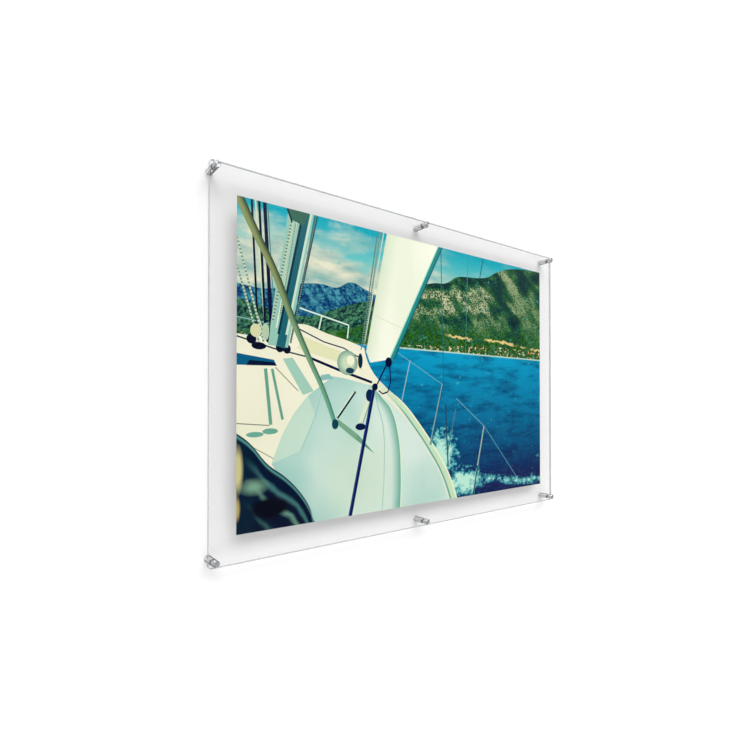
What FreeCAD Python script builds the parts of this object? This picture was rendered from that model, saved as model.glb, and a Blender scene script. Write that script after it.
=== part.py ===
import FreeCAD, Part
import os

from FreeCAD import Vector

# A floating picture frame: a print held between two clear acrylic panels, which
# stand off the wall on six round metal standoffs. Millimetres.
# +X runs along the wall, +Z is up and the front of the frame faces -Y.
# The origin is on the wall plane, at the middle of the six standoffs.

# Print and panels
PRINT_WIDTH = 914.4            # 36 in
PRINT_HEIGHT = 609.6           # 24 in
PRINT_THICKNESS = 0.3
CLEAR_MARGIN = 50.8            # clear acrylic on every side of the print
PANEL_THICKNESS = 3.0
PANEL_CORNER_RADIUS = 6.0
PANEL_ARRIS = 0.3              # polished bevel along the panels' outer edges

# Standoffs
STANDOFF_DIAMETER = 12.7       # 1/2 in
EDGE_LAND = 3.65               # acrylic left between a standoff and the panel's edge
BARREL_LENGTH = 25.4           # 1 in
BARREL_BASE = 3.0              # solid floor at the wall end of a barrel
BARREL_CHAMFER = 0.4
CAP_LENGTH = 9.5
CAP_CHAMFER = 0.8
WASHER_THICKNESS = 0.8
WASHER_LIP = 0.35              # a washer is this much inside the standoff's edge

# Threaded stud, held fast in the cap and screwed into the barrel
STUD_DIAMETER = 8.0            # M8 over the crests
THREAD_PITCH = 1.25
ENGAGED_TURNS = 8
STUD_IN_CAP = 6.0
STUD_CHAMFER = 0.8
THREAD_CLEARANCE = 0.05        # radial, stud to barrel bore
THREAD_RUNOUT = 1.0            # bore depth past the stud's tip
HOLE_CLEARANCE = 0.5           # radial, stud to the panels' holes
WASHER_CLEARANCE = 0.3         # radial, stud to the washers' holes

# Wall screws
SCREW_DIAMETER = 3.5           # over the thread's crests
SCREW_NECK_DIAMETER = 3.0      # plain neck inside the barrel's floor
SCREW_REACH = 29.0             # past the wall plane
SCREW_POINT = 5.0
SCREW_HEAD_DIAMETER = 6.4
SCREW_HEAD_HEIGHT = 2.4
SCREW_HEAD_CHAMFER = 0.7
SCREW_SLOT_WIDTH = 0.9
SCREW_SLOT_SPAN = 3.6
SCREW_SLOT_DEPTH = 1.2
HEAD_CLEARANCE = 0.2           # radial, screw head to the barrel's chamber
THREAD_PASS_CLEARANCE = 0.2    # radial, screw thread to the hole in the floor

# Worked out from the sizes above
PANEL_WIDTH = PRINT_WIDTH + 2 * CLEAR_MARGIN
PANEL_HEIGHT = PRINT_HEIGHT + 2 * CLEAR_MARGIN
EDGE_INSET = STANDOFF_DIAMETER / 2 + EDGE_LAND
ENGAGEMENT = ENGAGED_TURNS * THREAD_PITCH

# Planes of the stack, from the wall outwards
Y_WALL = 0.0
Y_BARREL_FRONT = Y_WALL - BARREL_LENGTH
Y_BACK_PANEL = Y_BARREL_FRONT - WASHER_THICKNESS
Y_PRINT = Y_BACK_PANEL - PANEL_THICKNESS
Y_FRONT_PANEL = Y_PRINT - PRINT_THICKNESS
Y_FRONT_WASHER = Y_FRONT_PANEL - PANEL_THICKNESS
Y_CAP = Y_FRONT_WASHER - WASHER_THICKNESS
Y_CAP_FRONT = Y_CAP - CAP_LENGTH

COLUMNS = {
    "left": -(PANEL_WIDTH / 2 - EDGE_INSET),
    "middle": 0.0,
    "right": PANEL_WIDTH / 2 - EDGE_INSET,
}
ROWS = {
    "top": PANEL_HEIGHT / 2 - EDGE_INSET,
    "bottom": -(PANEL_HEIGHT / 2 - EDGE_INSET),
}
STANDOFFS = {
    row + "_" + column: Vector(x, 0, z)
    for row, z in ROWS.items()
    for column, x in COLUMNS.items()
}

OUTWARD = Vector(0, -1, 0)


def rod(diameter, y_start, y_end, chamfer_start=0.0, chamfer_end=0.0):
    """A round bar on the standoff's axis, from y_start out to y_end."""
    length = y_start - y_end
    bar = Part.makeCylinder(diameter / 2, length, Vector(0, y_start, 0), OUTWARD)
    for y, chamfer in ((y_start, chamfer_start), (y_end, chamfer_end)):
        if chamfer > 0:
            rim = [e for e in bar.Edges if is_rim(e, y)]
            bar = bar.makeChamfer(chamfer, rim)
    return bar


def is_rim(edge, y):
    """True for an edge that lies wholly in the plane at y."""
    box = edge.BoundBox
    return abs(box.YMin - y) < 1e-6 and abs(box.YMax - y) < 1e-6


def ring(outer, inner, y_start, y_end):
    """A flat washer on the standoff's axis."""
    return rod(outer, y_start, y_end).cut(rod(inner, y_start, y_end))


def panel(y_back):
    """A clear sheet with round corners, bevelled edges and a hole for each stud."""
    corner = Vector(-PANEL_WIDTH / 2, y_back - PANEL_THICKNESS, -PANEL_HEIGHT / 2)
    sheet = Part.makeBox(PANEL_WIDTH, PANEL_THICKNESS, PANEL_HEIGHT, corner)
    upright = [e for e in sheet.Edges if e.BoundBox.YLength > PANEL_THICKNESS / 2]
    sheet = sheet.makeFillet(PANEL_CORNER_RADIUS, upright)
    outline = [
        e
        for e in sheet.Edges
        if is_rim(e, y_back) or is_rim(e, y_back - PANEL_THICKNESS)
    ]
    sheet = sheet.makeChamfer(PANEL_ARRIS, outline)
    hole = rod(STUD_DIAMETER + 2 * HOLE_CLEARANCE, y_back, y_back - PANEL_THICKNESS)
    return sheet.cut([hole.translated(place) for place in STANDOFFS.values()])


def print_sheet():
    """The print, one sheet of paper clamped between the panels."""
    corner = Vector(-PRINT_WIDTH / 2, Y_FRONT_PANEL, -PRINT_HEIGHT / 2)
    return Part.makeBox(PRINT_WIDTH, PRINT_THICKNESS, PRINT_HEIGHT, corner)


def barrel():
    """The tube against the wall: threaded at the front, a chamber for the screw's
    head behind the thread, and a floor with a hole for the screw."""
    body = rod(STANDOFF_DIAMETER, Y_WALL, Y_BARREL_FRONT, BARREL_CHAMFER, BARREL_CHAMFER)
    y_floor = Y_WALL - BARREL_BASE
    y_thread_end = Y_BARREL_FRONT + ENGAGEMENT + THREAD_RUNOUT
    thread = rod(STUD_DIAMETER + 2 * THREAD_CLEARANCE, y_thread_end, Y_BARREL_FRONT)
    chamber = rod(SCREW_HEAD_DIAMETER + 2 * HEAD_CLEARANCE, y_floor, Y_BARREL_FRONT)
    hole = rod(SCREW_DIAMETER + 2 * THREAD_PASS_CLEARANCE, Y_WALL, y_floor)
    return body.cut([thread, chamber, hole])


def stud():
    """The threaded stud: held in the cap, through both panels, into the barrel."""
    y_tip = Y_BARREL_FRONT + ENGAGEMENT
    return rod(STUD_DIAMETER, y_tip, Y_CAP - STUD_IN_CAP, chamfer_start=STUD_CHAMFER)


def cap():
    """The round cap, turned by hand to clamp the panels."""
    body = rod(STANDOFF_DIAMETER, Y_CAP, Y_CAP_FRONT, BARREL_CHAMFER, CAP_CHAMFER)
    return body.cut(rod(STUD_DIAMETER, Y_CAP, Y_CAP - STUD_IN_CAP))


def washer(y_start):
    """A clear washer that keeps metal off the acrylic."""
    outer = STANDOFF_DIAMETER - 2 * WASHER_LIP
    inner = STUD_DIAMETER + 2 * WASHER_CLEARANCE
    return ring(outer, inner, y_start, y_start - WASHER_THICKNESS)


def wall_screw():
    """A pan-head wood screw, its head on the barrel's floor, its point in the wall."""
    y_floor = Y_WALL - BARREL_BASE
    y_head = y_floor - SCREW_HEAD_HEIGHT
    head = rod(SCREW_HEAD_DIAMETER, y_floor, y_head, chamfer_end=SCREW_HEAD_CHAMFER)
    neck = rod(SCREW_NECK_DIAMETER, Y_WALL, y_floor)
    y_cone = SCREW_REACH - SCREW_POINT
    shank = rod(SCREW_DIAMETER, y_cone, Y_WALL)
    point = Part.makeCone(
        SCREW_DIAMETER / 2, 0, SCREW_POINT, Vector(0, y_cone, 0), Vector(0, 1, 0)
    )
    screw = head.fuse([neck, shank, point])
    half_span = SCREW_SLOT_SPAN / 2
    half_width = SCREW_SLOT_WIDTH / 2
    for half_x, half_z in ((half_span, half_width), (half_width, half_span)):
        slot = Part.makeBox(
            2 * half_x, SCREW_SLOT_DEPTH, 2 * half_z, Vector(-half_x, y_head, -half_z)
        )
        screw = screw.cut(slot)
    return screw


def export(name, shape):
    """Writes one sub-part to its own STEP file."""
    shape.exportStep(os.path.join("parts", name + ".step"))


def main():
    os.makedirs("parts", exist_ok=True)
    export("back_panel", panel(Y_BACK_PANEL))
    export("print_sheet", print_sheet())
    export("front_panel", panel(Y_FRONT_PANEL))
    standoff_pieces = {
        "barrel": barrel(),
        "rear_washer": washer(Y_BARREL_FRONT),
        "front_washer": washer(Y_FRONT_WASHER),
        "stud": stud(),
        "cap": cap(),
        "wall_screw": wall_screw(),
    }
    for place_name, place in STANDOFFS.items():
        for piece_name, shape in standoff_pieces.items():
            export(piece_name + "_" + place_name, shape.translated(place))


main()
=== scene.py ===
"""A floating frame: a print between two clear panels, held off the wall by six round standoffs."""

import logging
import math
from dataclasses import dataclass
from enum import Enum
from typing import Callable, Sequence

import bpy
from mathutils import Matrix, Vector


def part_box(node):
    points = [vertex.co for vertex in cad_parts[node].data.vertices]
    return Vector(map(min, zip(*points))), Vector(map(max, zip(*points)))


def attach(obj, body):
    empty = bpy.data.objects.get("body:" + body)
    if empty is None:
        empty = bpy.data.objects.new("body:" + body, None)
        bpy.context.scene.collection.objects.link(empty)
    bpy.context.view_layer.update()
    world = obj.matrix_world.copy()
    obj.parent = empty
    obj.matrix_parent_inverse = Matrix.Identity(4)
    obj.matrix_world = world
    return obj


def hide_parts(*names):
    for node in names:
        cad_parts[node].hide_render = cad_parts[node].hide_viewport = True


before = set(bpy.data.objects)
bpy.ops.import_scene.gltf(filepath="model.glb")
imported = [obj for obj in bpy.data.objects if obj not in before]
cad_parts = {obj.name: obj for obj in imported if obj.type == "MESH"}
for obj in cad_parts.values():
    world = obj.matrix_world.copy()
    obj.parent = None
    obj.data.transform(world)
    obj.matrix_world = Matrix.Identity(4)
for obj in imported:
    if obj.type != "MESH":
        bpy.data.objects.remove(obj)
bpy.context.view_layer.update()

LOG = logging.getLogger("floating_frame")
MM = 0.001
MERGE = 0.001 * MM
WHITE = (1.0, 1.0, 1.0, 1.0)

Socket = bpy.types.NodeSocket
Piece = bpy.types.Object
Number = float | Socket
Colour = tuple[int, int, int]
Point = tuple[float, float]


class Body(str, Enum):
    """The bodies that pieces ride on; a standoff's own bodies add its place to the name."""

    FIXED = "wall_and_panels"
    WASHER = "washer_"
    CAP = "cap_"


class Slot(str, Enum):
    """The record's material slots."""

    PAPER = "print_paper"
    METAL = "standoff_metal"
    ZINC = "zinc_steel"
    CLEAR = "clear_washer"


class Turned(Enum):
    """Which way a lathe's marks run."""

    ROUND = "round the barrel"
    FACE = "in rings on the cap's face"


def linear(colour: Sequence[float], share: float = 1.0) -> tuple[float, ...]:
    """Turns a colour as a paint chart gives it into one the shaders use.

    Args:
        colour: Red, green and blue from 0 to 255.
        share: How much of the paint's value to keep.

    Returns:
        Red, green, blue and an alpha of 1, in linear light.
    """
    parts = [int(part * share) / 255 for part in colour]
    light = [part / 12.92 if part <= 0.04045 else ((part + 0.055) / 1.055) ** 2.4 for part in parts]
    return (*light, 1.0)


def span(node: str, axis: int) -> tuple[float, float]:
    """Gives where a CAD node starts and ends along axis 0, 1 or 2, in metres."""
    low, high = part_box(node)
    return low[axis], high[axis]


class Board:
    """The nodes of one material or of the world, wired as they are added."""

    def __init__(self, tree: bpy.types.NodeTree) -> None:
        """Clears a node tree to start on."""
        self.tree = tree
        tree.nodes.clear()

    def add(self, kind: str, inputs: dict[str | int, object], **settings: object) -> bpy.types.Node:
        """Adds a node.

        Args:
            kind: The node's type, without its "ShaderNode".
            inputs: A value or another node's output for each input it names.
            **settings: The node's own properties.

        Returns:
            The new node.
        """
        node = self.tree.nodes.new("ShaderNode" + kind)
        for name, value in settings.items():
            setattr(node, name, value)
        for key, value in inputs.items():
            if isinstance(value, Socket):
                self.tree.links.new(value, node.inputs[key])
            else:
                node.inputs[key].default_value = value
        return node

    def shader(self, kind: str, **inputs: object) -> Socket:
        """Adds a shader; an input's name has _ for a space."""
        return self.add(kind, {name.replace("_", " "): value for name, value in inputs.items()}).outputs[0]

    def blend_shaders(self, share: Number, first: Socket, second: Socket) -> Socket:
        """Mixes two shaders; share is how much of the second."""
        return self.add("MixShader", {0: share, 1: first, 2: second}).outputs[0]

    def math(self, operation: str, *numbers: Number) -> Socket:
        """Works out one number from up to three."""
        return self.add("Math", dict(enumerate(numbers)), operation=operation).outputs[0]

    def largest(self, *numbers: Number) -> Socket:
        """Gives the largest of some numbers.

        Args:
            *numbers: The numbers.

        Returns:
            The largest.
        """
        kept = numbers[0]
        for number in numbers[1:]:
            kept = self.math("MAXIMUM", kept, number)
        return kept

    def vector(self, operation: str, *vectors: object) -> Socket:
        """Works out a vector from one or two."""
        return self.add("VectorMath", dict(enumerate(vectors)), operation=operation).outputs["Vector"]

    def measure(self, operation: str, *vectors: object) -> Socket:
        """Works out a number, a length or a dot product, from one or two vectors."""
        return self.add("VectorMath", dict(enumerate(vectors)), operation=operation).outputs["Value"]

    def ramp(self, value: Number, low: float, high: float, start: float = 0.0, end: float = 1.0) -> Socket:
        """Maps the range from low to high on to start and end, and stops there."""
        return self.add("MapRange", dict(enumerate((value, low, high, start, end))), clamp=True).outputs[0]

    def away(self, value: Number, middle: float, near: float, far: float, peak: float) -> Socket:
        """Gives peak within near of a middle value, falling to 0 at far from it."""
        off = self.math("ABSOLUTE", self.math("SUBTRACT", value, middle))
        return self.ramp(off, near, far, peak, 0.0)

    def mix(self, share: Number, first: object, second: object) -> Socket:
        """Mixes two colours; share is how much of the second."""
        return self.add("Mix", {0: share, 6: first, 7: second}, data_type="RGBA").outputs[2]

    def noise(self, where: Socket, scale: float, detail: float = 2.0, roughness: float = 0.5) -> Socket:
        """Gives a cloudy number near 0.5, with scale lumps to a unit of length."""
        inputs = {"Vector": where, "Scale": scale, "Detail": detail, "Roughness": roughness}
        return self.add("TexNoise", inputs).outputs[0]

    def place(self) -> Socket:
        """Gives the place on the object, in metres."""
        return self.add("TexCoord", {}).outputs["Object"]

    def split(self, where: Socket) -> tuple[Socket, ...]:
        """Splits a vector into its X, Y and Z."""
        return tuple(self.add("SeparateXYZ", {0: where}).outputs)

    def join(self, across: Number, depth: Number, height: Number) -> Socket:
        """Makes a vector of X, Y and Z."""
        return self.add("CombineXYZ", {0: across, 1: depth, 2: height}).outputs[0]

    def bump(self, height: Socket, distance: float, strength: float = 1.0) -> Socket:
        """Turns a height into a Normal; distance is how far a height of 1 stands up, in metres."""
        return self.add("Bump", {"Height": height, "Distance": distance, "Strength": strength}).outputs[0]


@dataclass(frozen=True)
class StandoffGrid:
    """Where the six standoffs stand, for finishes that follow each one's own axis."""

    column_step: float
    row_height: float

    def around(self, board: Board) -> tuple[Socket, Socket]:
        """Measures from the nearest standoff's axis.

        Args:
            board: The board to wire on.

        Returns:
            The distance from the axis, and Y from the wall.
        """
        across, depth, height = board.split(board.place())
        half = self.column_step / 2
        across = board.math("WRAP", across, half, -half)
        height = board.math("SUBTRACT", board.math("ABSOLUTE", height), self.row_height)
        return board.measure("LENGTH", board.join(across, 0.0, height)), depth


@dataclass(frozen=True)
class Finish:
    """A material; each kind wires its own surface."""

    name: str

    def make(self) -> bpy.types.Material:
        """Builds the material.

        Returns:
            The material.
        """
        material = bpy.data.materials.new(self.name)
        material.use_nodes = True
        board = Board(material.node_tree)
        board.add("OutputMaterial", {"Surface": self.surface(board)})
        return material

    def surface(self, board: Board) -> Socket:
        """Gives the shader, wired on the board."""
        raise NotImplementedError


@dataclass(frozen=True)
class TurnedMetal(Finish):
    """Satin metal straight from the lathe, with its fine marks."""

    marks: Turned
    grid: StandoffGrid
    tint: Colour = (228, 229, 231)
    mark_pitch: float = 0.09 * MM

    def surface(self, board: Board) -> Socket:
        """Wires fine and wide lathe marks and a few smudges.

        Args:
            board: The board to wire on.

        Returns:
            The shader.
        """
        radius, depth = self.grid.around(board)
        line = depth if self.marks is Turned.ROUND else radius
        fine, wide = (
            board.noise(board.join(board.math("DIVIDE", line, pitch), 0.0, 0.0), 1.0, *layers)
            for pitch, layers in ((self.mark_pitch, (3.0, 0.7)), (9 * self.mark_pitch, (1.0,)))
        )
        smudge = board.noise(board.place(), 420.0, 3.0, 0.6)
        level = board.math("MULTIPLY_ADD", wide, 0.5, board.math("MULTIPLY", fine, 0.5))
        colour = board.mix(board.ramp(level, 0.35, 0.65), linear(self.tint, 0.88), linear(self.tint))
        least, most = (0.30, 0.40) if self.marks is Turned.FACE else (0.08, 0.15)
        polish = board.ramp(level, 0.3, 0.7, least, most)
        inputs = {
            "Base_Color": colour,
            "Metallic": 1.0,
            "Roughness": board.math("ADD", polish, board.ramp(smudge, 0.45, 0.75, 0.0, 0.07)),
            "Normal": board.bump(level, 0.012 * MM, 0.35),
        }
        if self.marks is Turned.FACE:
            inputs["Anisotropic"] = 0.9
            inputs["Anisotropic_Rotation"] = 0.25
            inputs["Tangent"] = board.add("Tangent", {}, direction_type="RADIAL", axis="Y").outputs[0]
        return board.shader("BsdfPrincipled", **inputs)


@dataclass(frozen=True)
class ZincSteel(Finish):
    """Zinc-plated steel: cool, a little blotchy, with fine scratches."""

    tint: Colour = (190, 194, 202)

    def surface(self, board: Board) -> Socket:
        """Wires the blotches and scratches.

        Args:
            board: The board to wire on.

        Returns:
            The shader.
        """
        blotch = board.noise(board.place(), 900.0, 4.0, 0.6)
        scratch = board.noise(board.vector("MULTIPLY", board.place(), (1.0, 9.0, 1.0)), 1500.0)
        return board.shader(
            "BsdfPrincipled",
            Base_Color=board.mix(board.ramp(blotch, 0.35, 0.65), linear(self.tint, 0.72), linear(self.tint)),
            Metallic=1.0,
            Roughness=board.ramp(blotch, 0.3, 0.7, 0.24, 0.42),
            Normal=board.bump(scratch, 0.01 * MM, 0.4),
        )


@dataclass(frozen=True)
class ClearPlastic(Finish):
    """The washers' soft clear plastic, faintly milky."""

    milk: float = 0.34
    index: float = 1.49
    tint: Colour = (236, 240, 241)
    cloudy_tint: Colour = (222, 228, 231)

    def surface(self, board: Board) -> Socket:
        """Mixes a milky body with clear plastic.

        Args:
            board: The board to wire on.

        Returns:
            The shader.
        """
        cloud = board.noise(board.place(), 700.0)
        clear = board.shader("BsdfTransparent", Color=(0.96, 0.97, 0.97, 1.0))
        body = board.shader(
            "BsdfPrincipled",
            Base_Color=board.mix(cloud, linear(self.tint), linear(self.cloudy_tint)),
            Roughness=board.ramp(cloud, 0.3, 0.7, 0.10, 0.22),
            IOR=self.index,
        )
        share = board.ramp(cloud, 0.3, 0.7, self.milk - 0.05, self.milk + 0.05)
        return board.blend_shaders(share, clear, body)


@dataclass(frozen=True)
class ClearAcrylic(Finish):
    """A clear acrylic sheet: see-through faces with an anti-glare coat, and polished edges painted grey,
    partly the acrylic's tint and partly painted shade, with painted glint streaks.
    """

    width: float
    height: float
    corner: float
    hole: float
    rim: float
    grid: StandoffGrid
    passed: float = 0.975
    coated_index: float = 1.16
    index: float = 1.49
    # The edges' grey is partly the acrylic's own tint and partly painted shade; the lighter grey is a
    # painted glint.
    edge_tint_and_shade: Colour = (150, 157, 159)
    painted_edge_glint: Colour = (194, 200, 202)
    edge_body: float = 0.64

    def edge_share(self, board: Board) -> Socket:
        """Finds the sheet's outer edge and the edges of its holes.

        Args:
            board: The board to wire on.

        Returns:
            1 on an edge and 0 on the two faces.
        """
        inner = (self.width / 2 - self.corner, 1.0, self.height / 2 - self.corner)
        past = board.vector("SUBTRACT", board.vector("ABSOLUTE", board.place()), inner)
        reach = board.measure("LENGTH", board.vector("MAXIMUM", past, (0, 0, 0)))
        outside = board.math("GREATER_THAN", reach, self.corner - self.rim)
        in_hole = board.math("LESS_THAN", self.grid.around(board)[0], self.hole + self.rim / 4)
        return board.largest(outside, in_hole)

    def surface(self, board: Board) -> Socket:
        """Mixes the faces with the edges.

        Args:
            board: The board to wire on.

        Returns:
            The shader.
        """
        geometry = board.add("NewGeometry", {}).outputs
        flat = geometry["True Normal"]
        clear = board.shader("BsdfTransparent", Color=(self.passed, self.passed, self.passed, 1.0))
        gloss = board.shader("BsdfGlossy", Color=WHITE, Roughness=0.015, Normal=flat)
        outer = board.math("SUBTRACT", 1.0, geometry["Backfacing"])
        fresnel = board.add("Fresnel", {"IOR": self.coated_index, "Normal": flat}).outputs[0]
        face = board.blend_shaders(board.math("MULTIPLY", outer, fresnel), clear, gloss)
        haze = board.noise(board.place(), 60.0, 3.0)
        # Painted glint streaks that run along the edges.
        glint_streaks = board.noise(board.vector("MULTIPLY", board.place(), (1.0, 6.0, 1.0)), 260.0)
        # The edges' grey body: partly the acrylic's own tint, partly painted shade for the dark line a clear
        # edge shows.
        body = board.shader(
            "BsdfPrincipled",
            Base_Color=board.mix(glint_streaks, linear(self.edge_tint_and_shade), linear(self.painted_edge_glint)),
            Roughness=board.ramp(haze, 0.3, 0.7, 0.08, 0.2),
            IOR=self.index,
        )
        edge_clear = board.shader("BsdfTransparent", Color=(0.9, 0.93, 0.93, 1.0))
        edge = board.blend_shaders(self.edge_body, edge_clear, body)
        return board.blend_shaders(self.edge_share(board), face, edge)


class Ink(Board):
    """A board that paints a flat picture, one shape over another.

    Places on the picture are given from its lower left corner, in picture heights, so the
    height runs from 0 to 1 and the width from 0 to the sheet's own proportion.
    """

    def __init__(self, tree: bpy.types.NodeTree, low: Vector, size: Vector) -> None:
        """Starts a blank picture.

        Args:
            tree: The material's node tree.
            low: The sheet's lower left corner, in metres.
            size: The sheet's size.
        """
        super().__init__(tree)
        self.proportion = size.x / size.z
        shifted = self.vector("SUBTRACT", self.place(), (low.x, 0.0, low.z))
        self.where = self.vector("MULTIPLY", shifted, (1 / size.z, 0.0, 1 / size.z))
        self.across, _, self.up = self.split(self.where)
        self.colour: object = WHITE

    def lay(self, colour: object, *masks: Socket) -> None:
        """Lays a colour over what is painted so far.

        Args:
            colour: A painted colour, or one from the paint chart.
            *masks: It goes where all of these do, each from 0 to 1.
        """
        if isinstance(colour, tuple):
            colour = linear(colour)
        self.colour = self.mix(self.both(*masks), self.colour, colour)

    def blend(self, share: Number, first: Colour, second: Colour) -> Socket:
        """Mixes two paints; share is how much of the second."""
        return self.mix(share, linear(first), linear(second))

    def both(self, *masks: Socket) -> Socket:
        """Keeps only what all the masks cover.

        Args:
            *masks: The masks, each from 0 to 1.

        Returns:
            The mask they share.
        """
        kept = masks[0]
        for mask in masks[1:]:
            kept = self.math("MULTIPLY", kept, mask)
        return kept

    def grain(self, across: float, up: float, detail: float = 2.0, roughness: float = 0.5) -> Socket:
        """Gives a cloudy number, with so many lumps to a picture height across and up."""
        return self.noise(self.vector("MULTIPLY", self.where, (across, 1.0, up)), 1.0, detail, roughness)

    def relief(self, across: float, up: float, lean: float, detail: float, gain: float) -> Socket:
        """Gives slopes lit from the upper left.

        Args:
            across: Ridges to a picture height, along the picture.
            up: Ridges to a picture height, up the picture.
            lean: How far the ridges lean as they rise.
            detail: How many finer layers are added.
            gain: How strong the light is.

        Returns:
            About 0.5 on level ground, more on lit slopes and less on shaded ones.
        """
        leant = self.math("MULTIPLY_ADD", self.up, lean, self.across)
        place = self.vector("MULTIPLY", self.join(leant, 0.0, self.up), (across, 1.0, up))
        here = self.noise(place, 1.0, detail, 0.62)
        beyond = self.noise(self.vector("ADD", place, (-0.16, 0.0, 0.10)), 1.0, detail, 0.62)
        return self.math("MULTIPLY_ADD", self.math("SUBTRACT", here, beyond), gain, 0.5)

    def along(self, way: Vector) -> Socket:
        """Measures how far along a direction a place is."""
        return self.measure("DOT_PRODUCT", self.where, tuple(way))

    def left_of(self, start: Point, end: Point) -> Socket:
        """Covers what lies to the left of a line from start to end."""
        normal = Vector((start[1] - end[1], 0.0, end[0] - start[0])).normalized()
        return self.math("GREATER_THAN", self.along(normal), normal.dot(Vector((start[0], 0.0, start[1]))))

    def patch(self, *corners: Point) -> Socket:
        """Covers a patch with no inward corners, given counter-clockwise."""
        following = corners[1:] + corners[:1]
        return self.both(*(self.left_of(start, end) for start, end in zip(corners, following)))

    def stroke(self, start: Point, end: Point, width: float) -> Socket:
        """Covers a straight stroke.

        Args:
            start: Where it starts.
            end: Where it ends.
            width: Its full width.

        Returns:
            The mask.
        """
        first = Vector((start[0], 0.0, start[1]))
        way = Vector((end[0], 0.0, end[1])) - first
        length = way.length
        way.normalize()
        aside = Vector((-way.z, 0.0, way.x))
        on_line = self.math("COMPARE", self.along(aside), aside.dot(first), width / 2)
        on_length = self.math("COMPARE", self.along(way), way.dot(first) + length / 2, length / 2)
        return self.both(on_line, on_length)

    def line(self, width: float, *points: Point) -> Socket:
        """Covers a line of straight strokes, one after another, of one full width."""
        return self.largest(*(self.stroke(start, end, width) for start, end in zip(points, points[1:])))

    def disc(self, centre: Point, across: float, up: float) -> Socket:
        """Covers an upright oval.

        Args:
            centre: Its centre.
            across: Half its width.
            up: Half its height.

        Returns:
            A number that falls from 1 at its centre to 0 on its edge and on.
        """
        moved = self.vector("SUBTRACT", self.where, (centre[0], 0.0, centre[1]))
        scaled = self.vector("MULTIPLY", moved, (1 / across, 0.0, 1 / up))
        return self.ramp(self.measure("LENGTH", scaled), 0.0, 1.0, 1.0, 0.0)

    def strokes(self, *rows: tuple[Point, Point, float, Colour]) -> None:
        """Lays straight strokes, each with its start, end, full width and paint."""
        for start, end, width, paint in rows:
            self.lay(paint, self.stroke(start, end, width))

    def lines(self, *rows: tuple) -> None:
        """Lays bent lines, each with its paint, full width and the points it passes."""
        for paint, width, *points in rows:
            self.lay(paint, self.line(width, *points))

    def spots(self, *rows: tuple[Point, float, float, Colour]) -> None:
        """Lays even ovals, each with its centre, half its width and height, and its paint."""
        for centre, across, up, paint in rows:
            self.lay(paint, self.math("GREATER_THAN", self.disc(centre, across, up), 0.0))

    def patches(self, *rows: tuple) -> None:
        """Lays patches, each with its paint and its corners."""
        for paint, *corners in rows:
            self.lay(paint, self.patch(*corners))

    def ropes(self, *rows: tuple[Point, Point, float, Colour, Colour]) -> None:
        """Lays ropes with their strands.

        Args:
            *rows: Each rope's start, end, full width, its strands' paint and the paint between them.
        """
        for start, end, width, light, dark in rows:
            way = Vector((end[0] - start[0], 0.0, end[1] - start[1])).normalized()
            wave = self.math("SINE", self.math("MULTIPLY", self.along(way), math.tau / (1.7 * width)))
            strands = self.blend(self.ramp(wave, -0.4, 0.4), dark, light)
            self.lay(strands, self.stroke(start, end, width))

    def curve(self, value: Socket, size: float, points: Sequence[Point], sharp: bool) -> Socket:
        """Follows a curve.

        Args:
            value: How far along it.
            size: How long its range is, from 0.
            points: Places along it, each with its height, up to 1.
            sharp: True for straight runs between the places.

        Returns:
            The curve's height there.
        """
        node = self.add("FloatCurve", {"Value": self.math("DIVIDE", value, size)})
        line = node.mapping.curves[0]
        ordered = sorted((along / size, height) for along, height in points)
        line.points[0].location = ordered[0]
        line.points[1].location = ordered[-1]
        for place in ordered[1:-1]:
            line.points.new(*place)
        for point in line.points:
            point.handle_type = "VECTOR" if sharp else "AUTO"
        node.mapping.update()
        return node.outputs[0]

    def skyline(self, *points: Point, sharp: bool = False) -> Socket:
        """Gives the height of an outline that runs across the picture."""
        return self.curve(self.across, self.proportion, points, sharp)

    def upright(self, *points: Point, sharp: bool = False) -> Socket:
        """Gives the place across of an outline that runs up the picture, up to 1."""
        return self.curve(self.up, 1.0, [(height, across) for across, height in points], sharp)

    def under(self, outline: Socket) -> Socket:
        """Covers what is under an outline."""
        return self.math("LESS_THAN", self.up, outline)

    def before(self, outline: Socket) -> Socket:
        """Covers what is to the left of an upright outline."""
        return self.math("LESS_THAN", self.across, outline)

    def soft(self, outline: Socket, width: float) -> Socket:
        """Covers a level band along an outline that fades to nothing at width on both sides."""
        return self.away(self.up, outline, 0.0, width, 1.0)

    def near(self, value: Socket, outline: Socket, width: float) -> Socket:
        """Covers a band of a full width along an outline; value is the place across or the height."""
        return self.math("COMPARE", value, outline, width / 2)


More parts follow.
